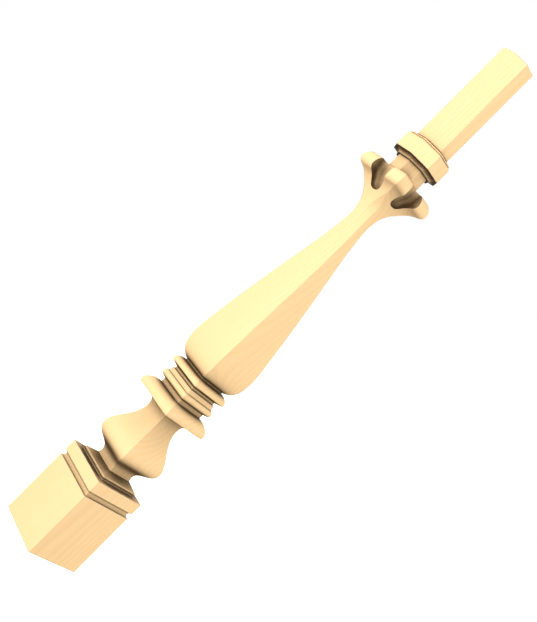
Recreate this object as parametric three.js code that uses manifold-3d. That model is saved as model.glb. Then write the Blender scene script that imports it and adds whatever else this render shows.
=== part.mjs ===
// A carved wooden baluster: one length of square stock, worked square and eight-sided.
//
// Millimetres, +Z up. The origin is the middle of the underside. The stock's four faces look
// along X and Y, so its corners, and the petals of the calyx, stand on the diagonals.
import * as THREE from 'three';
import * as BufferGeometryUtils from 'three/addons/utils/BufferGeometryUtils.js';
import Module from 'manifold-3d';

// Every "half" below is the distance from the axis to a flat face of the square or the octagon.
// Every "height" is a height of its own, and the members stand on each other in this order.
// An "aim half" is the half width that a curve heads for as it leaves or nears a sharp end.

// Foot: a plain block, a groove round it and a sharp band.
const stockHalf = 44.8;
const blockHeight = 101;
const grooveHeight = 9.6;
const grooveDepth = 3.2;
const grooveSlopeHeight = 4;
const bandHeight = 17.5;

// Stepped seat on the band, under the lower neck.
const seatHalf = 33.4;
const seatHeight = 5.8;
const seatLineHeight = 1.2;
const seatLineDepth = 0.9;
const seatSlopeHeight = 5.6;

// Lower neck and the bell above it.
const lowerNeckHalf = 20;
const lowerNeckHeight = 6.2;
const bellHalf = 37.6;
const bellRiseHeight = 28.5;
const bellFallHeight = 57.5;
const upperNeckHalf = 19.4;
const neckFlareHeight = 12.2;
const neckFlareHalf = 24.6;

// Cushion: a broad flange with a rounded top.
const cushionHalf = 41.4;
const cushionUndersideHeight = 3.3;
const cushionEdgeHeight = 4.1;
const cushionRoundHeight = 15.2;
const cushionTopHalf = 26;

// Small members between the cushion and the bulb.
const beadFootHalf = 25.7;
const beadFootHeight = 7;
const beadHalf = 31.8;
const beadHeight = 11.3;
const ringHalf = 28.6;
const ringHeight = 6.8;
const ringTaper = 1.4;
const ringEdgeHeight = 0.9;
const recessHalf = 25.5;
const recessHeight = 3.6;
const flangeHalf = 33.7;
const flangeUndersideHeight = 3.6;
const flangeEdgeHeight = 1.8;
const flangeRoundHeight = 9.8;
const flangeTopHalf = 24.4;
const bulbGrooveHalf = 23.8;
const bulbGrooveHeight = 2.4;

// Bulb, its long taper and the eight-sided waist.
const bulbFootHalf = 24.8;
const bulbHalf = 37.6;
const bulbRiseHeight = 40.4;
const bulbFootAimHalf = 34;
const bulbShoulderHeight = 134.4;
const shoulderHalf = 26.7;
const shoulderSlope = 0.1;
const taperHeight = 116.4;
const waistHalf = 15.6;

// Calyx: the flare above the waist, its rim and its flat top.
const calyxFlareHeight = 59;
const calyxFlareHalf = 38.9;
const calyxFlareAimHalf = 16;
const calyxHalf = 42.5;
const calyxRimHeight = 7.6;
const calyxRimAimHalf = 40.7;
const calyxRoundHeight = 13.8;
const calyxTopHalf = 34.5;

// The hollow carved into each face of the calyx, which leaves a petal on each corner.
const hollowMouthHalf = 16.9;
const hollowDrop = 24.7;
const hollowTopHalf = 15.2;
const hollowMiddleHalf = 12.8;
const hollowFootHalf = 9.6;
const hollowWallClearance = 1.6;
const hollowWallLean = 0.28;
const hollowFillet = 6.5;

// Eight-sided neck, collar and shaft.
const collarNeckHalf = 24.9;
const collarNeckHeight = 20.6;
const collarHalf = 37.2;
const collarHeight = 21.9;
const collarCoveHalf = 27.9;
const collarCoveHeight = 5.4;
const collarBevelHeight = 2.7;
const collarQuirk = 0.6;
const collarCapHalf = 34;
const collarCapHeight = 3.9;
const collarCapAimHalf = 31;
const shaftHalf = 26.9;
const shaftHeight = 159.9;

// Softened arrises: the flat left on every square corner and on the two ends.
const arrisFlatHalf = 0.25;
const endEase = 0.4;

// The small round on the lower edge of the cushion and of the flange.
const edgeRound = 1;

// Facets in each curved stretch of the outline.
const curveSteps = 8;

// Free curves. The pulls say how long a curve keeps the direction of its foot and of its top,
// as shares of its own rise.
const lowerNeckPulls = [0.1, 0.4];
const bellRisePulls = [0.47, 0.57];
const bellFallPulls = [0.31, 0.43];
const neckFlarePulls = [0.8, 0.08];
const bulbRisePulls = [0.15, 0.65];
const bulbShoulderPulls = [0.08, 0.33];
const taperPulls = [0.39, 0.2];
const calyxFlarePulls = [0.04, 0.185];
const calyxRimPulls = [0.11, 0.6];
const collarCapPulls = [0.35, 0.15];

// The corner facets of the bulb, as shares of the taper below the waist where they reach their
// full width, and of the flare above it where they start to close and where they are closed.
const facetFullShare = 0.38;
const facetCloseShares = [0.35, 0.92];

const OCTAGON = Math.tan(Math.PI / 8);
const QUARTER_ROUND = 0.5523;

// Draws the outline of a flat face against the height, one member after another.
class Outline extends THREE.Path {
  get half() {
    return this.currentPoint.x;
  }

  get level() {
    return this.currentPoint.y;
  }

  // A flat stretch to a new half width, sloping where it also rises.
  line(half, rise = 0) {
    this.lineTo(half, this.level + rise);
    return this;
  }

  // An upright stretch.
  wall(rise) {
    return this.line(this.half, rise);
  }

  // A double curve, upright at both ends.
  ogee(half, rise, pulls) {
    return this.swell(half, rise, this.half, pulls);
  }

  // A quarter round that starts upright and ends level.
  roundIn(half, rise) {
    const level = this.level;
    const top = level + rise;
    const levelEnd = half + (1 - QUARTER_ROUND) * (this.half - half);
    this.bezierCurveTo(this.half, level + QUARTER_ROUND * rise, levelEnd, top, half, top);
    return this;
  }

  // A quarter round that starts level and ends upright.
  roundUp(half, rise) {
    const level = this.level;
    const top = level + rise;
    const levelEnd = this.half + QUARTER_ROUND * (half - this.half);
    this.bezierCurveTo(levelEnd, level, half, top - QUARTER_ROUND * rise, half, top);
    return this;
  }

  // A curve that leaves its foot in any direction and ends upright.
  swell(half, rise, aimHalf, [footPull, topPull]) {
    const level = this.level;
    const top = level + rise;
    this.bezierCurveTo(aimHalf, level + footPull * rise, half, top - topPull * rise, half, top);
    return this;
  }

  // A curve that starts upright and reaches its top from any direction.
  sweep(half, rise, aimHalf, [footPull, topPull]) {
    const level = this.level;
    const top = level + rise;
    this.bezierCurveTo(this.half, level + footPull * rise, aimHalf, top - topPull * rise, half, top);
    return this;
  }
}

function drawFoot(outline) {
  const grooveWallHeight = (grooveHeight - grooveSlopeHeight) / 2;
  outline.moveTo(stockHalf - endEase, 0);
  outline.line(stockHalf, endEase).wall(blockHeight - endEase);
  outline.line(stockHalf - grooveDepth, grooveSlopeHeight).wall(grooveWallHeight);
  outline.line(stockHalf, grooveWallHeight).wall(bandHeight);
}

function drawSeat(outline) {
  const lineHalf = seatHalf - seatLineDepth;
  const plainHeight = (seatHeight - seatLineHeight) / 3;
  outline.line(seatHalf).wall(plainHeight);
  outline.line(lineHalf, seatLineHeight / 3).wall(seatLineHeight / 3).line(seatHalf, seatLineHeight / 3);
  outline.wall(plainHeight).roundIn(lineHalf, plainHeight);
  outline.line(lowerNeckHalf + seatLineDepth, seatSlopeHeight);
}

function drawBell(outline) {
  outline.sweep(lowerNeckHalf, lowerNeckHeight, lowerNeckHalf, lowerNeckPulls);
  outline.ogee(bellHalf, bellRiseHeight, bellRisePulls);
  outline.ogee(upperNeckHalf, bellFallHeight, bellFallPulls);
  outline.sweep(neckFlareHalf, neckFlareHeight, (upperNeckHalf + neckFlareHalf) / 2, neckFlarePulls);
}

function drawCushion(outline) {
  outline.line(cushionHalf - edgeRound, cushionUndersideHeight);
  outline.roundUp(cushionHalf, cushionEdgeHeight);
  outline.roundIn(cushionTopHalf, cushionRoundHeight);
}

function drawBead(outline) {
  const cove = (cushionTopHalf - beadFootHalf) / 2;
  outline.line(beadFootHalf, cove).wall(beadFootHeight - 2 * cove).line(beadFootHalf + cove, cove);
  outline.roundUp(beadHalf, beadHeight / 2).roundIn(ringHalf, beadHeight / 2);
  outline.wall(ringEdgeHeight).line(ringHalf - ringTaper, ringHeight - 2 * ringEdgeHeight);
  outline.line(recessHalf, ringEdgeHeight);
}

function drawFlange(outline) {
  outline.wall(recessHeight).line(flangeHalf - edgeRound, flangeUndersideHeight);
  outline.roundUp(flangeHalf, flangeEdgeHeight).roundIn(flangeTopHalf, flangeRoundHeight);
  outline.line(bulbGrooveHalf).wall(bulbGrooveHeight);
}

function drawBulb(outline) {
  const shoulderAim = shoulderSlope * bulbShoulderPulls[1] * bulbShoulderHeight;
  const taperAim = shoulderSlope * taperPulls[0] * taperHeight;
  outline.line(bulbFootHalf).swell(bulbHalf, bulbRiseHeight, bulbFootAimHalf, bulbRisePulls);
  outline.sweep(shoulderHalf, bulbShoulderHeight, shoulderHalf + shoulderAim, bulbShoulderPulls);
  outline.swell(waistHalf, taperHeight, shoulderHalf - taperAim, taperPulls);
}

function drawCalyx(outline) {
  outline.sweep(calyxFlareHalf, calyxFlareHeight, calyxFlareAimHalf, calyxFlarePulls);
  outline.swell(calyxHalf, calyxRimHeight, calyxRimAimHalf, calyxRimPulls);
  outline.roundIn(calyxTopHalf, calyxRoundHeight);
}

function drawCollar(outline) {
  outline.line(collarNeckHalf).wall(collarNeckHeight).line(collarCoveHalf);
  outline.roundIn(collarHalf, collarCoveHeight).wall(collarHeight);
  outline.line(collarCapHalf + collarQuirk, collarBevelHeight);
  outline.line(collarCapHalf - collarQuirk).wall(collarQuirk).line(collarCapHalf);
  outline.sweep(shaftHalf + collarQuirk, collarCapHeight, collarCapAimHalf, collarCapPulls);
  outline.line(shaftHalf - collarQuirk).wall(collarQuirk).line(shaftHalf);
}

function drawShaft(outline) {
  outline.wall(shaftHeight - endEase).line(shaftHalf - endEase, endEase);
}

const outline = new Outline();
drawFoot(outline);
drawSeat(outline);
drawBell(outline);
drawCushion(outline);
drawBead(outline);
drawFlange(outline);
const bulbFootLevel = outline.level;
drawBulb(outline);
const waistLevel = outline.level;
drawCalyx(outline);
const calyxTopLevel = outline.level;
const calyxRimLevel = calyxTopLevel - calyxRoundHeight;
drawCollar(outline);
drawShaft(outline);

// Half the width of the flat that cuts each corner of the square, at one point of the outline.
// The square bulb turns eight-sided up its taper, and its corners come back up the calyx.
function cornerFlatHalf({ x: half, y: level }, index) {
  if (index > calyxTopIndex) {
    return OCTAGON * half;
  }
  const facetFullLevel = waistLevel - facetFullShare * taperHeight;
  const [closeStart, closeEnd] = facetCloseShares.map((share) => waistLevel + share * calyxFlareHeight);
  const growth = THREE.MathUtils.smoothstep(level, bulbFootLevel, facetFullLevel);
  const closing = THREE.MathUtils.smoothstep(level, closeStart, closeEnd);
  return arrisFlatHalf + (OCTAGON * waistHalf - arrisFlatHalf) * Math.min(growth, 1 - closing);
}

const outlinePoints = outline.getPoints(curveSteps);
const calyxTopIndex = outlinePoints.findLastIndex(
  (point) => point.y <= calyxTopLevel + 1e-6 && point.x > collarNeckHalf + 1e-6,
);

// The eight corners of the section, anticlockwise from above.
function sectionRing(point, index) {
  const half = point.x;
  const alongFace = half - Math.SQRT2 * cornerFlatHalf(point, index);
  const corners = [];
  for (let quarter = 0; quarter < 4; quarter += 1) {
    const angle = quarter * Math.PI / 2;
    for (const side of [-alongFace, alongFace]) {
      const corner = new THREE.Vector3(half, side, point.y);
      corners.push(corner.applyAxisAngle(new THREE.Vector3(0, 0, 1), angle));
    }
  }
  return corners;
}

// One closed solid through a stack of rings, with a flat end at each end of the stack.
function loft(rings) {
  const sides = rings[0].length;
  const index = [];
  for (let ring = 0; ring < rings.length - 1; ring += 1) {
    for (let side = 0; side < sides; side += 1) {
      const next = (side + 1) % sides;
      const low = ring * sides;
      const high = low + sides;
      index.push(low + side, low + next, high + next);
      index.push(low + side, high + next, high + side);
    }
  }
  const top = (rings.length - 1) * sides;
  for (let side = 1; side < sides - 1; side += 1) {
    index.push(0, side + 1, side);
    index.push(top, top + side, top + side + 1);
  }
  const geometry = new THREE.BufferGeometry().setFromPoints(rings.flat());
  geometry.setIndex(index);
  return geometry;
}

// The tongue-shaped hollow of one face, cut level along the face's normal, here +X.
function hollowCutter() {
  const foot = calyxRimLevel - hollowDrop;
  const above = calyxTopLevel + 2 * hollowFillet;
  const tongue = new THREE.Shape();
  tongue.moveTo(0, foot);
  tongue.bezierCurveTo(
    hollowFootHalf, foot, hollowFootHalf, foot + hollowDrop / 5,
    hollowMiddleHalf, foot + hollowDrop / 2,
  );
  tongue.quadraticCurveTo(hollowMouthHalf, calyxRimLevel - hollowDrop / 6, hollowMouthHalf, calyxRimLevel);
  tongue.quadraticCurveTo(hollowMouthHalf, calyxTopLevel - calyxRoundHeight / 2, hollowTopHalf, calyxTopLevel);
  tongue.lineTo(hollowTopHalf, above);
  const rightSide = tongue.getPoints(curveSteps);
  const leftSide = rightSide.slice(1).reverse().map((point) => new THREE.Vector2(-point.x, point.y));
  const wallHalf = collarNeckHalf + hollowWallClearance;
  const depth = 2 * calyxHalf - wallHalf;
  const geometry = new THREE.ExtrudeGeometry(new THREE.Shape([...rightSide, ...leftSide]), {
    depth,
    bevelThickness: hollowFillet,
    bevelSize: hollowFillet,
    bevelOffset: -hollowFillet,
    bevelSegments: 4,
    steps: 1,
  });
  // The extrusion starts at the back wall. It turns to look along +X, and the wall leans out.
  geometry.translate(0, 0, wallHalf + hollowFillet);
  geometry.rotateX(Math.PI / 2).rotateZ(Math.PI / 2);
  const lean = new THREE.Matrix4().makeShear(0, 0, 0, 0, hollowWallLean, 0);
  geometry.translate(0, 0, -calyxTopLevel).applyMatrix4(lean).translate(0, 0, calyxTopLevel);
  return geometry;
}

const wasm = await Module();
wasm.setup();

function toSolid(geometry) {
  const bare = geometry.clone();
  bare.deleteAttribute('normal');
  bare.deleteAttribute('uv');
  const merged = BufferGeometryUtils.mergeVertices(bare, 1e-4);
  return new wasm.Manifold(new wasm.Mesh({
    numProp: 3,
    vertProperties: new Float32Array(merged.attributes.position.array),
    triVerts: new Uint32Array(merged.index.array),
  }));
}

function toGeometry(solid) {
  const mesh = solid.getMesh();
  const indexed = new THREE.BufferGeometry();
  indexed.setAttribute('position', new THREE.BufferAttribute(mesh.vertProperties, mesh.numProp));
  indexed.setIndex(new THREE.BufferAttribute(mesh.triVerts, 1));
  const geometry = indexed.toNonIndexed();
  geometry.computeVertexNormals();
  return geometry;
}

let carved = toSolid(loft(outlinePoints.map(sectionRing)));
for (let face = 0; face < 4; face += 1) {
  carved = carved.subtract(toSolid(hollowCutter().rotateZ(face * Math.PI / 2)));
}

const paleWood = new THREE.MeshStandardMaterial({ color: 0xf0d5a4, roughness: 0.6, metalness: 0 });
const balusterMesh = new THREE.Mesh(toGeometry(carved), paleWood);
balusterMesh.name = 'baluster';

const part = new THREE.Group();
part.add(balusterMesh);

export default part;
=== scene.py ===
# %% [markdown]
# A carved wooden baluster. The real one is worked from a single length of square stock: its
# mouldings are cut to the same outline on all four faces and meet on the corners in mitres,
# the corners of the long bulb are then planed off, and the petals of the calyx are left standing
# between four carved hollows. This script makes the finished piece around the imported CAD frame.

import math

import bpy
from mathutils import Matrix, Vector


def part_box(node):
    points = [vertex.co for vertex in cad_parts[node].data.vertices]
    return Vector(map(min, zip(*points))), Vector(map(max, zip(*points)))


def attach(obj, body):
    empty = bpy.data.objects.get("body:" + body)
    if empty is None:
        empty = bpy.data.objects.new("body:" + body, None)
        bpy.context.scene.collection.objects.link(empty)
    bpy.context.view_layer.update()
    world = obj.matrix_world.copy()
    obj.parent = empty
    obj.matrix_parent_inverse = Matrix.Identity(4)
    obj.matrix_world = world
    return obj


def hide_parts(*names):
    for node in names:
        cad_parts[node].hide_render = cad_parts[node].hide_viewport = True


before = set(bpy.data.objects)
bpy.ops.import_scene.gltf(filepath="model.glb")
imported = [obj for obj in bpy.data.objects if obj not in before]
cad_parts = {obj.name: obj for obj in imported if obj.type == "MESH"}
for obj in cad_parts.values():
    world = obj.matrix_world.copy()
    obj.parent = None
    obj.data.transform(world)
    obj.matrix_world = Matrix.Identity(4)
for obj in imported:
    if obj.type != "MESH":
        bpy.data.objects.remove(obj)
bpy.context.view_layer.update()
frame_low, frame_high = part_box("baluster")
print("CAD baluster:", [round(n, 4) for n in (*frame_low, *frame_high)])

# %% [markdown]
# The camera comes first, so that every later step can be looked at. The baluster lies along the
# diagonal of the picture, so the camera looks almost level at the baluster's middle and is
# rolled by an eighth of a turn. A roll keeps the object upright in the scene, which a tilt of
# the object itself would not.

# %% Camera
camera_side = math.radians(45)
camera_rise = math.radians(0.904)
camera_roll = math.radians(44.988)
camera_distance = 1.2443
camera_sidestep = -0.0006
target_height = 0.4342
camera_lens = 53.78

right = Vector((math.cos(camera_side), math.sin(camera_side), 0))
back = Vector(
    (
        math.sin(camera_side) * math.cos(camera_rise),
        -math.cos(camera_side) * math.cos(camera_rise),
        math.sin(camera_rise),
    )
)
up = back.cross(right)
place = Vector((0, 0, target_height)) + camera_distance * back + camera_sidestep * right

bpy.ops.object.camera_add(location=place)
camera = bpy.context.object
camera.name = "photo_camera"
camera.data.lens = camera_lens
picture_x = math.cos(camera_roll) * right + math.sin(camera_roll) * up
picture_y = math.cos(camera_roll) * up - math.sin(camera_roll) * right
camera_turn = Matrix((picture_x, picture_y, back)).transposed().to_4x4()
camera.matrix_world = Matrix.Translation(place) @ camera_turn
bpy.context.scene.camera = camera
print("camera stands", round(place.length, 3), "m from the foot")

# %% [markdown]
# A turner or carver starts from the outline of one face, drawn full size on a board. Here it is a
# Bezier curve in the XZ plane: X is the distance from the axis to the flat of the face, and Z is
# the height. Each member is added on top of the last one, so every height below is the height of
# one moulding and nothing has to be added up by hand. Where a curve is drawn freely, its pulls
# are the shares of its height at which its two handles stand. On a quarter round, handles at
# 0.5523 of the width and the height come closest to a true quarter of a circle.

# %% A drawing board for the outline
quarter_round = 0.5523


class Outline:
    """Bezier points from the foot up: place, handle towards the last point, handle to the next."""

    def __init__(self):
        self.points = [[Vector((0, 0)), None, None]]

    @property
    def half(self):
        """The half width reached so far."""
        return self.points[-1][0].x

    @property
    def level(self):
        """The height reached so far."""
        return self.points[-1][0].y

    def line(self, half, rise=0.0):
        """A flat stretch to a new half width, sloping where it also rises."""
        self.points.append([Vector((half, self.level + rise)), None, None])

    def wall(self, rise):
        """An upright stretch."""
        self.line(self.half, rise)

    def curve(self, half, rise, leaving, arriving):
        """A free curve between two handles, each given as a half width and a share of the rise."""
        low = self.level
        self.points[-1][2] = Vector((leaving[0], low + leaving[1] * rise))
        top = Vector((half, low + rise))
        self.points.append([top, Vector((arriving[0], low + arriving[1] * rise)), None])

    def ogee(self, half, rise, foot_pull, top_pull):
        """A double curve, upright at both ends."""
        self.curve(half, rise, (self.half, foot_pull), (half, 1 - top_pull))

    def round_in(self, half, rise):
        """A quarter round that starts upright and ends level."""
        level_end = half + (1 - quarter_round) * (self.half - half)
        self.curve(half, rise, (self.half, quarter_round), (level_end, 1))

    def round_up(self, half, rise):
        """A quarter round that starts level and ends upright."""
        level_end = self.half + quarter_round * (half - self.half)
        self.curve(half, rise, (level_end, 0), (half, 1 - quarter_round))


outline = Outline()

# %% [markdown]
# The foot is a plain block with a band above it and a shallow cove between the two. The floor and
# the roof of a cove are nearly level where they meet the faces, and there it shows as dark lines.

# %% Foot block
stock_half = 0.0448
block_height = 0.102
groove_depth = 0.0034
groove_floor_height = 0.0046
groove_roof_height = 0.004
band_height = 0.0175

outline.line(stock_half)
outline.wall(block_height)
outline.round_up(stock_half - groove_depth, groove_floor_height)
outline.round_in(stock_half, groove_roof_height)
outline.wall(band_height)
print("foot ends at", round(outline.level, 4))

# %% [markdown]
# A stepped seat stands on the band. A fine line is cut round it, and a slope leads to the neck.

# %% Seat
seat_half = 0.0334
seat_step_height = 0.0015
seat_line_height = 0.0012
seat_line_depth = 0.0009
seat_slope_height = 0.0057
lower_neck_half = 0.020

outline.line(seat_half)
outline.wall(seat_step_height)
outline.line(seat_half - seat_line_depth)
outline.wall(seat_line_height)
outline.line(seat_half)
outline.wall(seat_step_height)
outline.round_in(seat_half - seat_line_depth, seat_step_height)
outline.line(lower_neck_half + seat_line_depth, seat_slope_height)
print("seat ends at", round(outline.level, 4))

# %% [markdown]
# The bell is one long double curve above the narrow neck: it swells quickly, then draws in
# slowly to the upper neck and flares out again under the cushion.

# %% Bell
lower_neck_height = 0.0062
lower_neck_pulls = (0.1, 0.6)
bell_half = 0.0376
bell_rise_height = 0.0285
bell_rise_pulls = (0.47, 0.57)
bell_fall_height = 0.0575
bell_fall_pulls = (0.31, 0.43)
upper_neck_half = 0.0194
neck_flare_height = 0.0122
neck_flare_half = 0.0246
neck_flare_pulls = (0.8, 0.92)

outline.curve(
    lower_neck_half,
    lower_neck_height,
    (outline.half, lower_neck_pulls[0]),
    (lower_neck_half, lower_neck_pulls[1]),
)
outline.ogee(bell_half, bell_rise_height, *bell_rise_pulls)
outline.ogee(upper_neck_half, bell_fall_height, *bell_fall_pulls)
outline.curve(
    neck_flare_half,
    neck_flare_height,
    (upper_neck_half, neck_flare_pulls[0]),
    ((upper_neck_half + neck_flare_half) / 2, neck_flare_pulls[1]),
)
print("bell ends at", round(outline.level, 4))

# %% [markdown]
# The cushion is a broad flange with a thin lower edge and a full round back to the neck.

# %% Cushion
cushion_half = 0.0414
cushion_underside_height = 0.0033
cushion_edge_height = 0.0041
cushion_round_height = 0.0152
cushion_top_half = 0.026
edge_round = 0.001

outline.line(cushion_half - edge_round, cushion_underside_height)
outline.round_up(cushion_half, cushion_edge_height)
outline.round_in(cushion_top_half, cushion_round_height)
print("cushion ends at", round(outline.level, 4))

# %% [markdown]
# Three small members come next: a round bead, a tapering ring and a recess under the flange.

# %% Bead, ring and recess
bead_foot_half = 0.0257
bead_foot_height = 0.007
bead_half = 0.0318
bead_height = 0.0113
ring_half = 0.0286
ring_height = 0.0068
ring_taper = 0.0014
recess_half = 0.0255
recess_height = 0.0036

outline.line(bead_foot_half)
outline.wall(bead_foot_height)
outline.round_up(bead_half, bead_height / 2)
outline.round_in(ring_half, bead_height / 2)
outline.line(ring_half - ring_taper, ring_height)
outline.line(recess_half)
outline.wall(recess_height)
print("recess ends at", round(outline.level, 4))

# %% [markdown]
# The flange repeats the cushion at a smaller size, with a deep groove between it and the bulb.

# %% Flange
flange_half = 0.0337
flange_underside_height = 0.0036
flange_edge_height = 0.0018
flange_round_height = 0.0098
flange_top_half = 0.0244
bulb_groove_half = 0.0238
bulb_groove_height = 0.0024

outline.line(flange_half - edge_round, flange_underside_height)
outline.round_up(flange_half, flange_edge_height)
outline.round_in(flange_top_half, flange_round_height)
outline.line(bulb_groove_half)
outline.wall(bulb_groove_height)
print("flange ends at", round(outline.level, 4))

# %% [markdown]
# The bulb is the longest member. It swells from the groove, narrows with an almost straight
# taper and reaches the waist. The slope at its shoulder joins its two curves without a break.

# %% Bulb and taper
bulb_foot_half = 0.0248
bulb_half = 0.0376
bulb_rise_height = 0.0404
bulb_foot_aim = 0.034
bulb_rise_pulls = (0.15, 0.35)
shoulder_half = 0.0267
bulb_shoulder_height = 0.1344
shoulder_slope = 0.1
shoulder_leaving = 0.08
shoulder_reach = 0.33
taper_height = 0.1164
taper_reach = 0.39
taper_arriving = 0.8
waist_half = 0.0156

outline.line(bulb_foot_half)
bulb_foot_level = outline.level
outline.curve(
    bulb_half,
    bulb_rise_height,
    (bulb_foot_aim, bulb_rise_pulls[0]),
    (bulb_half, bulb_rise_pulls[1]),
)
shoulder_aim = shoulder_half + shoulder_slope * shoulder_reach * bulb_shoulder_height
outline.curve(
    shoulder_half,
    bulb_shoulder_height,
    (bulb_half, shoulder_leaving),
    (shoulder_aim, 1 - shoulder_reach),
)
taper_aim = shoulder_half - shoulder_slope * taper_reach * taper_height
outline.curve(
    waist_half, taper_height, (taper_aim, taper_reach), (waist_half, taper_arriving)
)
waist_level = outline.level
print("waist at", round(waist_level, 4))

# %% [markdown]
# The calyx flares out of the waist like a flower cup, rounds over at the rim and is flat on top.

# %% Calyx outline
calyx_flare_height = 0.0585
calyx_flare_half = 0.0379
calyx_flare_aim = 0.016
calyx_flare_pulls = (0.04, 0.799)
calyx_half = 0.0425
calyx_rim_height = 0.0081
calyx_rim_aim = 0.04054
calyx_rim_pulls = (0.175, 0.506)
calyx_round_height = 0.0138
calyx_top_half = 0.0345
collar_neck_half = 0.0249

outline.curve(
    calyx_flare_half,
    calyx_flare_height,
    (waist_half, calyx_flare_pulls[0]),
    (calyx_flare_aim, calyx_flare_pulls[1]),
)
outline.curve(
    calyx_half,
    calyx_rim_height,
    (calyx_rim_aim, calyx_rim_pulls[0]),
    (calyx_half, calyx_rim_pulls[1]),
)
calyx_rim_level = outline.level
outline.round_in(calyx_top_half, calyx_round_height)
calyx_top_level = outline.level
outline.line(collar_neck_half)
print("calyx top at", round(calyx_top_level, 4))

# %% [markdown]
# From here up the baluster is a regular octagon. A short neck carries the collar, which has a
# hollow moulding under it, a bevelled top edge and two fine lines round its rounded cap.

# %% Collar
collar_neck_height = 0.0206
collar_cove_half = 0.0279
collar_cove_height = 0.0054
collar_half = 0.0372
collar_height = 0.0219
collar_bevel_height = 0.0027
collar_quirk = 0.0006
collar_cap_half = 0.034
collar_cap_height = 0.0039
collar_cap_aim = 0.031
collar_cap_pulls = (0.35, 0.85)
shaft_half = 0.0269

outline.wall(collar_neck_height)
outline.line(collar_cove_half)
outline.round_in(collar_half, collar_cove_height)
outline.wall(collar_height)
outline.line(collar_cap_half + collar_quirk, collar_bevel_height)
outline.line(collar_cap_half - collar_quirk)
outline.wall(collar_quirk)
outline.line(collar_cap_half)
outline.curve(
    shaft_half + collar_quirk,
    collar_cap_height,
    (collar_cap_half, collar_cap_pulls[0]),
    (collar_cap_aim, collar_cap_pulls[1]),
)
outline.line(shaft_half - collar_quirk)
outline.wall(collar_quirk)
outline.line(shaft_half)
print("shaft starts at", round(outline.level, 4))

# %% [markdown]
# The plain shaft runs to the top. Its length is whatever the frame has left, so the piece ends
# exactly where the CAD ends.

# %% Shaft
outline.wall(frame_high.z - outline.level)
outline.line(0.0)
print("outline has", len(outline.points), "points and ends at", round(outline.level, 4))

# %% [markdown]
# The drawn points become a Bezier curve object. Where a stretch has no handles it stays straight,
# and elsewhere it is divided finely enough to look smooth. Then it is converted to a chain of
# mesh edges, because the next tools are mesh tools.

# %% Outline as a chain of edges
curve_steps = 24


def only(item):
    """Deselects everything and makes one object the active one."""
    bpy.ops.object.select_all(action="DESELECT")
    item.select_set(True)
    bpy.context.view_layer.objects.active = item


def draw_curve(name, points, closed=False):
    """A Bezier curve through points of the XZ plane, turned into mesh edges."""
    data = bpy.data.curves.new(name, "CURVE")
    data.dimensions = "3D"
    data.resolution_u = curve_steps
    spline = data.splines.new("BEZIER")
    spline.bezier_points.add(len(points) - 1)
    spline.use_cyclic_u = closed
    for knot, (co, before, after) in zip(spline.bezier_points, points):
        knot.co = (co.x, 0, co.y)
        knot.handle_left_type = "FREE" if before else "VECTOR"
        knot.handle_right_type = "FREE" if after else "VECTOR"
        if before:
            knot.handle_left = (before.x, 0, before.y)
        if after:
            knot.handle_right = (after.x, 0, after.y)
    drawn = bpy.data.objects.new(name, data)
    bpy.context.scene.collection.objects.link(drawn)
    only(drawn)
    bpy.ops.object.convert(target="MESH")
    return drawn


face_side = draw_curve("face_outline", outline.points)
print("chain of", len(face_side.data.vertices), "points")

# %% [markdown]
# No edge on a hand-finished piece is razor sharp. The level edges of the mouldings are eased now,
# on the outline, because rounding a corner of a chain is easier than rounding edges of a solid.
# A vertex bevel does it, with a weight for each corner, so that a fine line gets a finer round.

# %% Ease the level edges
level_ease = 0.0005
level_ease_steps = 4
ease_share = 0.35
sharp_turn = math.radians(18)


def turn_at(chain, position):
    """The angle by which the chain turns at one of its points, and its shorter side there."""
    before, here, after = (chain[position + step].co for step in (-1, 0, 1))
    return (here - before).angle(after - here), min((here - before).length, (after - here).length)


chain = face_side.data.vertices
weights = face_side.data.attributes.new("bevel_weight_vert", "FLOAT", "POINT")
eased = 0
for position in range(1, len(chain) - 1):
    turn, side = turn_at(chain, position)
    if turn > sharp_turn:
        weights.data[position].value = min(1.0, ease_share * side / level_ease)
        eased += 1


def finish_modifier(item, kind, **settings):
    """Adds a modifier, sets it and applies it."""
    only(item)
    modifier = item.modifiers.new(kind.lower(), kind)
    for setting, value in settings.items():
        setattr(modifier, setting, value)
    bpy.ops.object.modifier_apply(modifier=modifier.name)


finish_modifier(
    face_side,
    "BEVEL",
    affect="VERTICES",
    limit_method="WEIGHT",
    width=level_ease,
    segments=level_ease_steps,
    use_clamp_overlap=False,
)
print("eased", eased, "corners; chain of", len(face_side.data.vertices), "points")

# %% [markdown]
# Half the width of the flat on each corner. Square stock keeps a narrow eased flat. Up the taper
# of the bulb the corners are planed off until the waist is a regular octagon, and up the calyx
# the corners come back, so that they can become the tips of the petals.

# %% The width of the corner flats
eased_corner = 0.0004
full_flat_share = 0.38
closing_shares = (0.353, 0.928)
octagon_side = math.tan(math.pi / 8)


def smooth_between(value, low, high):
    """0 below low, 1 above high and a smooth rise between them."""
    share = min(1.0, max(0.0, (value - low) / (high - low)))
    return share * share * (3 - 2 * share)


def corner_flat(level):
    """Half the width of the corner flat at a height, below the top of the calyx."""
    full_level = waist_level - full_flat_share * taper_height
    start, end = (waist_level + share * calyx_flare_height for share in closing_shares)
    planed = smooth_between(level, bulb_foot_level, full_level)
    closing = smooth_between(level, start, end)
    full_flat = octagon_side * waist_half
    return eased_corner + (full_flat - eased_corner) * min(planed, 1 - closing)


for level in (bulb_foot_level, waist_level, calyx_rim_level):
    print("corner flat at", round(level, 3), "is", round(2 * corner_flat(level), 5), "wide")

# %% [markdown]
# The outline of the corners follows from the outline of the faces. On a square, a corner lies
# further from the axis than the face by the square root of two, less the flat that is planed off.
# On the octagonal neck, collar and shaft the two outlines are the same.

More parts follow.
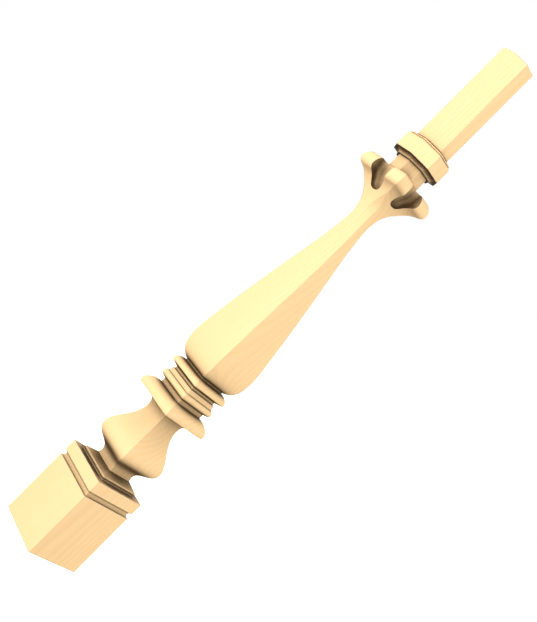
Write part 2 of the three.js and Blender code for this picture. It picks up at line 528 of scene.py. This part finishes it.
# %% Outline of the corners
only(face_side)
bpy.ops.object.duplicate()
corner_side = bpy.context.object
corner_side.name = "corner_outline"
neck_edge = (calyx_top_half + collar_neck_half) / 2
hair = 1e-5


def is_octagonal(half, level):
    """Whether a point of the outline belongs to the neck, the collar or the shaft."""
    return level > calyx_top_level + hair or (level > calyx_top_level - hair and half < neck_edge)


for point in corner_side.data.vertices:
    half, level = point.co.x, point.co.z
    if half > hair and not is_octagonal(half, level):
        point.co.x = math.sqrt(2) * half - corner_flat(level)
print("corner outline reaches", round(max(p.co.x for p in corner_side.data.vertices), 4))

# %% [markdown]
# Spinning a chain in four steps gives a square-turned solid: the same moulding on four faces,
# mitred at the corners. The chain is first moved out by the square root of two, because a spin
# carries the corners of the square and the outline gives its flats. The spin's ends meet on the
# axis, so the doubles are merged there and the normals are turned outwards.

# %% Square-turned solids
merge_distance = 1e-5
eighth_turn = math.radians(45)


def square_turn(item, turned):
    """Spins a chain into a solid whose flats keep the chain's distance from the axis."""
    only(item)
    bpy.ops.object.mode_set(mode="EDIT")
    bpy.ops.mesh.select_all(action="SELECT")
    bpy.ops.transform.resize(value=(math.sqrt(2), 1, 1), center_override=(0, 0, 0))
    bpy.ops.mesh.spin(steps=4, angle=math.tau, center=(0, 0, 0), axis=(0, 0, 1))
    bpy.ops.mesh.select_all(action="SELECT")
    bpy.ops.mesh.remove_doubles(threshold=merge_distance)
    bpy.ops.transform.rotate(value=turned, orient_axis="Z", center_override=(0, 0, 0))
    bpy.ops.mesh.normals_make_consistent(inside=False)
    bpy.ops.object.mode_set(mode="OBJECT")
    print(item.name, "->", len(item.data.polygons), "faces")


square_turn(face_side, eighth_turn)
square_turn(corner_side, 0)

# %% [markdown]
# Where the two solids overlap is the baluster with its corners planed off. An intersection
# boolean keeps just that. Both solids are closed, so the solver for closed solids can be used,
# which always gives a closed solid back.

# %% Plane off the corners
baluster = face_side
baluster.name = "carved_baluster"


def boolean(item, tool, operation):
    """Cuts or keeps what a tool solid covers, then throws the tool away."""
    finish_modifier(item, "BOOLEAN", object=tool, operation=operation, solver="MANIFOLD")
    bpy.data.objects.remove(tool)
    only(item)
    bpy.ops.object.mode_set(mode="EDIT")
    bpy.ops.mesh.select_all(action="SELECT")
    bpy.ops.mesh.remove_doubles(threshold=merge_distance)
    bpy.ops.object.mode_set(mode="OBJECT")


boolean(baluster, corner_side, "INTERSECT")
print("planed:", len(baluster.data.vertices), "points,", len(baluster.data.polygons), "faces")

# %% [markdown]
# The petals are what is left between four hollows, each carved into one face with a gouge. The
# tool for one hollow starts as its outline on the face: a tongue, narrow and round at the foot,
# widest at the rim and a little narrower at the top. It runs on above the calyx, so that the cut
# is open there.

# %% Outline of a hollow
hollow_drop = 0.0243
hollow_foot_half = 0.0096
hollow_middle_half = 0.0128
hollow_mouth_half = 0.0169
hollow_top_half = 0.0152
hollow_headroom = 0.013
middle_spread = 0.0027
middle_reach = 0.0055
mouth_reach_down = 0.0028
mouth_reach_up = 0.0045
shoulder_inset = 0.0006

hollow_foot = calyx_rim_level - hollow_drop
hollow_foot_round = hollow_foot + hollow_drop / 5
hollow_middle = hollow_foot + hollow_drop / 2
hollow_shoulder = (calyx_rim_level + calyx_top_level) / 2


def tongue_side(side):
    """The three drawn points of one edge of the tongue, from the foot up. side is 1 or -1."""
    middle = Vector((side * hollow_middle_half, hollow_middle))
    mouth = Vector((side * hollow_mouth_half, calyx_rim_level))
    top = Vector((side * hollow_top_half, calyx_top_level))
    return [
        [
            middle,
            Vector((side * hollow_foot_half, hollow_foot_round)),
            middle + Vector((side * middle_spread, middle_reach)),
        ],
        [mouth, mouth - Vector((0, mouth_reach_down)), mouth + Vector((0, mouth_reach_up))],
        [top, Vector((side * (hollow_mouth_half - shoulder_inset), hollow_shoulder)), None],
        [Vector((side * hollow_top_half, calyx_top_level + hollow_headroom)), None, None],
    ]


foot_point = [
    Vector((0, hollow_foot)),
    Vector((-hollow_foot_half, hollow_foot)),
    Vector((hollow_foot_half, hollow_foot)),
]
left_edge = [[co, after, before] for co, before, after in reversed(tongue_side(-1))]
hollow_tool = draw_curve(
    "hollow_tool", [foot_point, *tongue_side(1), *left_edge], closed=True
)
print("hollow foot at", round(hollow_foot, 4), "with", len(hollow_tool.data.vertices), "points")

# %% [markdown]
# The outline is turned to lie across the +X face, filled and extruded towards the axis. The new
# end is the back wall of the hollow. Tilting it about its top edge makes the wall lean out, so
# that the hollow is shallow at the foot and runs out deeper behind the petals. A wide round
# between the walls and the back is the sweep of the gouge.

# %% Body of the hollow's tool
wall_clearance = 0.0016
wall_lean = math.asin(0.27)
gouge_round = 0.0065
gouge_steps = 10
tool_reach = 0.06
quarter_turn = math.radians(90)

wall_half = collar_neck_half + wall_clearance
only(hollow_tool)
bpy.ops.object.mode_set(mode="EDIT")
bpy.ops.mesh.select_all(action="SELECT")
bpy.ops.mesh.remove_doubles(threshold=merge_distance)
bpy.ops.transform.rotate(value=quarter_turn, orient_axis="Z", center_override=(0, 0, 0))
bpy.ops.transform.translate(value=(tool_reach, 0, 0))
bpy.ops.mesh.edge_face_add()
bpy.ops.mesh.extrude_region_move(
    TRANSFORM_OT_translate={"value": (wall_half - tool_reach, 0, 0)}
)
wall_top = (wall_half, 0, calyx_top_level)
bpy.ops.transform.rotate(value=-wall_lean, orient_axis="Y", center_override=wall_top)
bpy.ops.transform.resize(value=(1, 1, 1 / math.cos(wall_lean)), center_override=wall_top)
bpy.ops.mesh.select_mode(type="EDGE")
bpy.ops.mesh.region_to_loop()
bpy.ops.mesh.bevel(
    offset=gouge_round, segments=gouge_steps, affect="EDGES", clamp_overlap=False
)
bpy.ops.mesh.select_all(action="SELECT")
bpy.ops.mesh.normals_make_consistent(inside=False)
bpy.ops.mesh.select_mode(type="VERT")
bpy.ops.object.mode_set(mode="OBJECT")
print("tool measures", [round(n, 4) for n in hollow_tool.dimensions])

# %% [markdown]
# The same tool cuts all four faces: it is copied, each copy is turned by a further quarter, and
# each makes its own cut.

# %% Carve the four hollows
tools = [hollow_tool]
for quarter in (1, 2, 3):
    only(hollow_tool)
    bpy.ops.object.duplicate()
    copy = bpy.context.object
    bpy.ops.object.mode_set(mode="EDIT")
    bpy.ops.mesh.select_all(action="SELECT")
    bpy.ops.transform.rotate(
        value=quarter * quarter_turn, orient_axis="Z", center_override=(0, 0, 0)
    )
    bpy.ops.object.mode_set(mode="OBJECT")
    tools.append(copy)
for tool in tools:
    boolean(baluster, tool, "DIFFERENCE")
print("carved:", len(baluster.data.vertices), "points,", len(baluster.data.polygons), "faces")

# %% [markdown]
# The upright arrises are still sharp. A bevel with an angle limit finds them, since every level
# edge was eased before, and rounds them as a pass of sandpaper would.

# %% Ease the upright arrises
arris_ease = 0.0003
arris_ease_steps = 3
arris_angle = math.radians(20)

finish_modifier(
    baluster,
    "BEVEL",
    limit_method="ANGLE",
    angle_limit=arris_angle,
    width=arris_ease,
    segments=arris_ease_steps,
    use_clamp_overlap=False,
)
print("eased:", len(baluster.data.vertices), "points")

# %% [markdown]
# A smooth wooden surface is shaded smoothly, but its flat faces must stay flat right up to the
# eased arrises. Weighted normals do that: a large face pulls the shading of its corners its own
# way, so all of the turn happens in the narrow strips of the bevels. The rounding of a bevel can
# carry a point a few hundredths of a millimetre out, so the points are first held to the size
# that the CAD gives.

# %% Shading
smooth_angle = math.radians(40)
face_weight = 50

only(baluster)
bpy.ops.object.mode_set(mode="EDIT")
bpy.ops.mesh.select_all(action="SELECT")
bpy.ops.mesh.dissolve_degenerate(threshold=merge_distance)
bpy.ops.mesh.normals_make_consistent(inside=False)
bpy.ops.object.mode_set(mode="OBJECT")
for point in baluster.data.vertices:
    point.co = Vector(
        min(high, max(low, n)) for n, low, high in zip(point.co, frame_low, frame_high)
    )
bpy.ops.object.shade_smooth_by_angle(angle=smooth_angle)
finish_modifier(baluster, "WEIGHTED_NORMAL", weight=face_weight, keep_sharp=True)
triangles = sum(len(face.vertices) - 2 for face in baluster.data.polygons)
print("finished mesh has", triangles, "triangles")

# %% [markdown]
# The real baluster is bare, finely sanded pale softwood. Up close such wood is never one colour.
# Its growth rings are cylinders round the pith of the tree, which here stood outside the stock,
# so they show as straight lines up the long faces and as arcs on the two ends. One field of
# distance from the pith gives both, which a picture wrapped round the outside could not. The
# group below turns a position into three masks: the dark late wood of each ring, the fine
# fibres, and slow changes of tone along the plank.

# %% A group for the grain
class Wiring:
    """A node tree with short ways to add and join nodes."""

    def __init__(self, tree):
        self.tree = tree

    def add(self, kind, settings=None, **inputs):
        """A new node with its settings and inputs. An underscore stands for a space in a name."""
        node = self.tree.nodes.new(kind)
        for setting, value in (settings or {}).items():
            setattr(node, setting, value)
        for name, value in inputs.items():
            self.feed(node, name.replace("_", " "), value)
        return node

    def feed(self, node, socket, value):
        """Joins an output to an input, or sets the input to a plain value."""
        if isinstance(value, bpy.types.NodeSocket):
            self.tree.links.new(value, node.inputs[socket])
        else:
            node.inputs[socket].default_value = value

    def math(self, operation, first, second=0.0, clamp=False):
        """One step of arithmetic on two values."""
        node = self.add("ShaderNodeMath", {"operation": operation, "use_clamp": clamp})
        self.feed(node, 0, first)
        self.feed(node, 1, second)
        return node.outputs[0]

    def scaled(self, vector, scale):
        """A vector multiplied axis by axis."""
        node = self.add("ShaderNodeVectorMath", {"operation": "MULTIPLY"})
        self.feed(node, 0, vector)
        self.feed(node, 1, scale)
        return node.outputs[0]

    def noise(self, vector, scale, detail):
        """A soft random value at a place."""
        node = self.add("ShaderNodeTexNoise", Vector=vector, Scale=scale, Detail=detail)
        return node.outputs["Fac"]

    def between(self, value, low, high, bottom=0.0, top=1.0):
        """A smooth step that runs from bottom at low to top at high."""
        node = self.add(
            "ShaderNodeMapRange", {"interpolation_type": "SMOOTHSTEP"}, Value=value
        )
        limits = {"From Min": low, "From Max": high, "To Min": bottom, "To Max": top}
        for name, limit in limits.items():
            self.feed(node, name, limit)
        return node.outputs["Result"]

    def mix(self, factor, first, second, blend="MIX"):
        """Mixes two colours, whose sockets are numbered after those for plain values."""
        node = self.add("ShaderNodeMix", {"data_type": "RGBA", "blend_type": blend})
        self.feed(node, 0, factor)
        self.feed(node, 6, first)
        self.feed(node, 7, second)
        return node.outputs[2]


def new_group(name, inputs, outputs):
    """A shader node group with named sockets. Returns the group, its wiring and its inputs."""
    group = bpy.data.node_groups.new(name, "ShaderNodeTree")
    for label, kind, value in inputs:
        socket = group.interface.new_socket(label, in_out="INPUT", socket_type="NodeSocket" + kind)
        if value is not None:
            socket.default_value = value
    for label, kind in outputs:
        group.interface.new_socket(label, in_out="OUTPUT", socket_type="NodeSocket" + kind)
    entry = group.nodes.new("NodeGroupInput")
    return group, Wiring(group), entry.outputs


plank_stretch = (1, 1, 0.05)
fibre_stretch = (1, 1, 0.025)
late_wood_starts = 0.35
late_wood_full = 0.9
late_wood_ends = 0.97
wander_scale = 14
wander_detail = 2
tone_scale = 9
tone_detail = 1
fibre_detail = 3

grain, wires, given = new_group(
    "wood_grain",
    [
        ("Position", "Vector", None),
        ("Ring Spacing", "Float", 0.0042),
        ("Ring Wander", "Float", 0.006),
        ("Fibre Spacing", "Float", 0.0008),
    ],
    [("Late Wood", "Float"), ("Fibre", "Float"), ("Tone", "Float")],
)
plank = wires.scaled(given["Position"], plank_stretch)
wander = wires.math("SUBTRACT", wires.noise(plank, wander_scale, wander_detail), 0.5)
across = wires.add("ShaderNodeVectorMath", {"operation": "LENGTH"})
wires.feed(across, 0, wires.scaled(given["Position"], (1, 1, 0)))
from_pith = wires.math(
    "ADD", across.outputs["Value"], wires.math("MULTIPLY", wander, given["Ring Wander"])
)
ring = wires.math("FRACT", wires.math("DIVIDE", from_pith, given["Ring Spacing"]))
late_wood = wires.math(
    "MULTIPLY",
    wires.between(ring, late_wood_starts, late_wood_full),
    wires.between(ring, late_wood_ends, 1, bottom=1, top=0),
)
fibres = wires.scaled(given["Position"], fibre_stretch)
leaving = wires.add("NodeGroupOutput")
wires.feed(leaving, "Late Wood", late_wood)
wires.feed(
    leaving,
    "Fibre",
    wires.noise(fibres, wires.math("DIVIDE", 1, given["Fibre Spacing"]), fibre_detail),
)
wires.feed(leaving, "Tone", wires.noise(plank, tone_scale, tone_detail))
print("grain group has", len(grain.nodes), "nodes")

# %% [markdown]
# The group paints shade into the colour of the wood. A warm dark is mixed in by how closed in a
# point is, and more of it on ledges and undersides than on upright faces, so the recess under or
# over every member of this piece gets painted shade. It also lightens the arrises a little, as
# wear, where hands and sandpaper touch first.

# %% A group for painted recess shade and arris wear
shade_and_wear, wires, given = new_group(
    "painted_recess_shade_and_arris_wear",
    [
        ("Wood", "Color", None),
        ("Openness", "Float", 1.0),
        ("Crevice", "Float", 0.0),
        ("Slope", "Float", 0.0),
        ("Slope Share", "Float", 0.4),
        ("Recess Shade", "Color", None),
        ("Recess Depth", "Float", 2.1),
        ("Recess Bite", "Float", 1.4),
        ("Arris", "Float", 0.0),
        ("Arris Lift", "Float", 0.05),
    ],
    [("Colour", "Color")],
)
# Painted shade: a warm dark is mixed into the colour where the piece closes in, and more of it on
# ledges and undersides.
closed_in = wires.math("SUBTRACT", 1, given["Openness"], clamp=True)
shade_strength = wires.math("ADD", 1, wires.math("MULTIPLY", given["Slope"], given["Slope Share"]))
shade_strength = wires.math("MULTIPLY", shade_strength, given["Recess Depth"])
deep = wires.math("MULTIPLY", closed_in, shade_strength, clamp=True)
shade = wires.math("POWER", deep, given["Recess Bite"])
shade = wires.math("MAXIMUM", shade, given["Crevice"])
lift = wires.math("MULTIPLY", given["Arris"], given["Arris Lift"])
handled = wires.mix(lift, given["Wood"], (1, 1, 1, 1))
darkest = wires.mix(1, handled, given["Recess Shade"], "MULTIPLY")
leaving = wires.add("NodeGroupOutput")
wires.feed(leaving, "Colour", wires.mix(shade, handled, darkest))
print("recess group has", len(shade_and_wear.nodes), "nodes")

# %% [markdown]
# The material joins the groups. A Mapping node puts the pith outside the stock and tips it by a
# degree, as sawn stock seldom follows the tree exactly. Three Ambient Occlusion nodes measure the
# piece itself: how closed in a point is, how deep it lies in a fine crevice and, looking inwards,
# how near it is to an arris. The first two paint shade into the base colour. The low sheen of bare
# wood is set on the shader's own socket.

# %% Pale wood
early_wood_colour = (0.705, 0.482, 0.25, 1)
late_wood_colour = (0.655, 0.43, 0.205, 1)
# The colour of the painted shade in recesses and crevices and on ledges and undersides.
painted_shade_colour = (0.085, 0.072, 0.06, 1)
pith_place = (0.075, 0.048, 0)
pith_tilt = (math.radians(1.1), math.radians(-0.8), 0)
late_wood_share = 0.45
late_wood_relief = 0.5
fibre_range = (0.25, 0.75)
fibre_values = (0.965, 1.03)
tone_range = (0.25, 0.75)
tone_values = (0.97, 1.02)
recess_reach = 0.1
recess_samples = 12
crevice_reach = 0.005
crevice_samples = 6
crevice_range = (0.2, 0.92)
crevice_values = (0.97, 0)
arris_reach = 0.0015
arris_samples = 4
arris_range = (0.6, 0.95)
arris_values = (1, 0)
rough_range = (0.3, 0.7)
rough_values = (0.76, 0.88)
bump_strength = 0.35
bump_height = 0.00006
sheen = 0.03

pale_wood = bpy.data.materials.new("sanded_pale_wood")
pale_wood.use_nodes = True
wires = Wiring(pale_wood.node_tree)
wood_shader = pale_wood.node_tree.nodes["Principled BSDF"]

coordinates = wires.add("ShaderNodeTexCoord").outputs
place = coordinates["Object"]
from_tree = wires.add("ShaderNodeMapping", Vector=place, Location=pith_place, Rotation=pith_tilt)
pattern = wires.add("ShaderNodeGroup", {"node_tree": grain}, Position=from_tree.outputs["Vector"])
stripe = wires.math("MULTIPLY", pattern.outputs["Late Wood"], late_wood_share)
stripes = wires.mix(stripe, early_wood_colour, late_wood_colour)
fibre_value = wires.between(pattern.outputs["Fibre"], *fibre_range, *fibre_values)
tone_value = wires.between(pattern.outputs["Tone"], *tone_range, *tone_values)
brightness = wires.add("ShaderNodeHueSaturation", Color=stripes)
wires.feed(brightness, "Value", wires.math("MULTIPLY", fibre_value, tone_value))


def open_share(reach, samples, inside=False):
    """1 where the piece itself leaves a point open as far as reach, and less where it closes in."""
    node = wires.add(
        "ShaderNodeAmbientOcclusion",
        {"samples": samples, "only_local": True, "inside": inside},
        Distance=reach,
    )
    return node.outputs["AO"]


# These two masks paint shade into the base colour: the first by how closed in a point is, the
# second in fine crevices.
openness = open_share(recess_reach, recess_samples)
near_open = open_share(crevice_reach, crevice_samples)
crevice = wires.between(near_open, *crevice_range, *crevice_values)
inner_open = open_share(arris_reach, arris_samples, inside=True)
arris = wires.between(inner_open, *arris_range, *arris_values)
# How level a face is: ledges and undersides get more painted shade than upright faces.
upwards = wires.add("ShaderNodeSeparateXYZ", Vector=coordinates["Normal"]).outputs["Z"]
# The group node paints the shade into the base colour and lightens the worn arrises.
shaded_and_worn = wires.add(
    "ShaderNodeGroup",
    {"node_tree": shade_and_wear},
    Wood=brightness.outputs["Color"],
    Openness=openness,
    Crevice=crevice,
    Slope=wires.math("ABSOLUTE", upwards),
    Recess_Shade=painted_shade_colour,
    Arris=arris,
)
wires.feed(wood_shader, "Base Color", shaded_and_worn.outputs["Colour"])
roughness = wires.between(pattern.outputs["Fibre"], *rough_range, *rough_values)
wires.feed(wood_shader, "Roughness", roughness)
ridges = wires.math("MULTIPLY", pattern.outputs["Late Wood"], late_wood_relief)
relief = wires.math("ADD", ridges, pattern.outputs["Fibre"])
bump = wires.add("ShaderNodeBump", Strength=bump_strength, Distance=bump_height, Height=relief)
wires.feed(wood_shader, "Normal", bump.outputs["Normal"])
wood_shader.inputs["Specular IOR Level"].default_value = sheen

baluster.data.materials.clear()
baluster.data.materials.append(pale_wood)
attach(baluster, "root")
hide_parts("baluster")
print("material has", len(pale_wood.node_tree.nodes), "nodes")

# %% [markdown]
# The floor is plain and pale. To the camera it is almost as bright as the backdrop, so the
# baluster stands on white with only a faint contact shadow. To all other rays it is a dim window
# onto the lower half of the tent, so that the undersides get much less light than the sides.

# %% Floor
floor_radius = 12
floor_sides = 96
floor_glow = 0.55
floor_colour = (0.9, 0.9, 0.9, 1)
floor_passes = (0.45, 0.45, 0.45, 1)

bpy.ops.object.select_all(action="DESELECT")
bpy.ops.mesh.primitive_circle_add(
    vertices=floor_sides, radius=floor_radius, fill_type="NGON", location=(0, 0, 0)
)
floor = bpy.context.object
floor.name = "studio_floor"
floor_paint = bpy.data.materials.new("floor_paint")
floor_paint.use_nodes = True
wires = Wiring(floor_paint.node_tree)
floor_paint.node_tree.nodes.remove(floor_paint.node_tree.nodes["Principled BSDF"])
lit = wires.add("ShaderNodeBsdfDiffuse", Color=floor_colour)
glow = wires.add("ShaderNodeEmission", Strength=floor_glow)
seen = wires.add("ShaderNodeAddShader")
wires.feed(seen, 0, lit.outputs[0])
wires.feed(seen, 1, glow.outputs[0])
from_below = wires.add("ShaderNodeBsdfTransparent", Color=floor_passes)
by_ray = wires.add("ShaderNodeMixShader")
wires.feed(by_ray, 0, wires.add("ShaderNodeLightPath").outputs["Is Camera Ray"])
wires.feed(by_ray, 1, from_below.outputs[0])
wires.feed(by_ray, 2, seen.outputs[0])
wires.feed(floor_paint.node_tree.nodes["Material Output"], "Surface", by_ray.outputs[0])
floor.data.materials.append(floor_paint)

# %% [markdown]
# Most of the light comes from all round at eye level and little from above or below, as in a
# white tent with a dark roof: upright faces are bright, and slopes turn brown towards their
# recesses. The camera itself sees the tent as plain white.

# %% Tent of soft light
tent_strength = 2.8
tent_falloff = 3

world = bpy.data.worlds.new("studio")
bpy.context.scene.world = world
world.use_nodes = True
wires = Wiring(world.node_tree)
direction = wires.add("ShaderNodeTexCoord").outputs["Generated"]
height = wires.add("ShaderNodeSeparateXYZ", Vector=direction).outputs["Z"]
level_share = wires.math("SUBTRACT", 1, wires.math("MULTIPLY", height, height))
strength = wires.math("MULTIPLY", wires.math("POWER", level_share, tent_falloff), tent_strength)
tent = wires.add("ShaderNodeBackground", Color=(1, 1, 1, 1), Strength=strength)
backdrop = wires.add("ShaderNodeBackground", Color=(1, 1, 1, 1), Strength=1.0)
by_ray = wires.add("ShaderNodeMixShader")
wires.feed(by_ray, 0, wires.add("ShaderNodeLightPath").outputs["Is Camera Ray"])
wires.feed(by_ray, 1, tent.outputs[0])
wires.feed(by_ray, 2, backdrop.outputs[0])
wires.feed(world.node_tree.nodes["World Output"], "Surface", by_ray.outputs[0])

# %% [markdown]
# A soft box stands a little above eye level to the left of the camera, so the left faces are a
# third brighter than the right ones. A second stands opposite and does the same for the back.

# %% Soft boxes
box_distance = 2.2
box_rise = math.radians(15)
box_aim = Vector((0, 0, 0.45))
box_size = (1.4, 1.6)
box_power = 54
key_azimuth = 22
rear_azimuth = key_azimuth + 180


def soft_box(name, azimuth, power):
    """A wide lamp aimed at the baluster. Azimuth 0 is off the -Y face, and 90 off the +X face."""
    turn = math.radians(azimuth)
    level_way = Vector((math.sin(turn), -math.cos(turn), 0))
    way = math.cos(box_rise) * level_way + math.sin(box_rise) * Vector((0, 0, 1))
    stand = box_aim + box_distance * way
    data = bpy.data.lights.new(name, "AREA")
    data.shape = "RECTANGLE"
    data.size, data.size_y = box_size
    data.energy = power
    lamp = bpy.data.objects.new(name, data)
    bpy.context.scene.collection.objects.link(lamp)
    facing = (-way).to_track_quat("-Z", "Y").to_matrix().to_4x4()
    lamp.matrix_world = Matrix.Translation(stand) @ facing
    lamp.visible_camera = False
    return lamp


soft_box("key_light", key_azimuth, box_power)
soft_box("rear_light", rear_azimuth, box_power)
bpy.context.scene.view_settings.view_transform = "Standard"
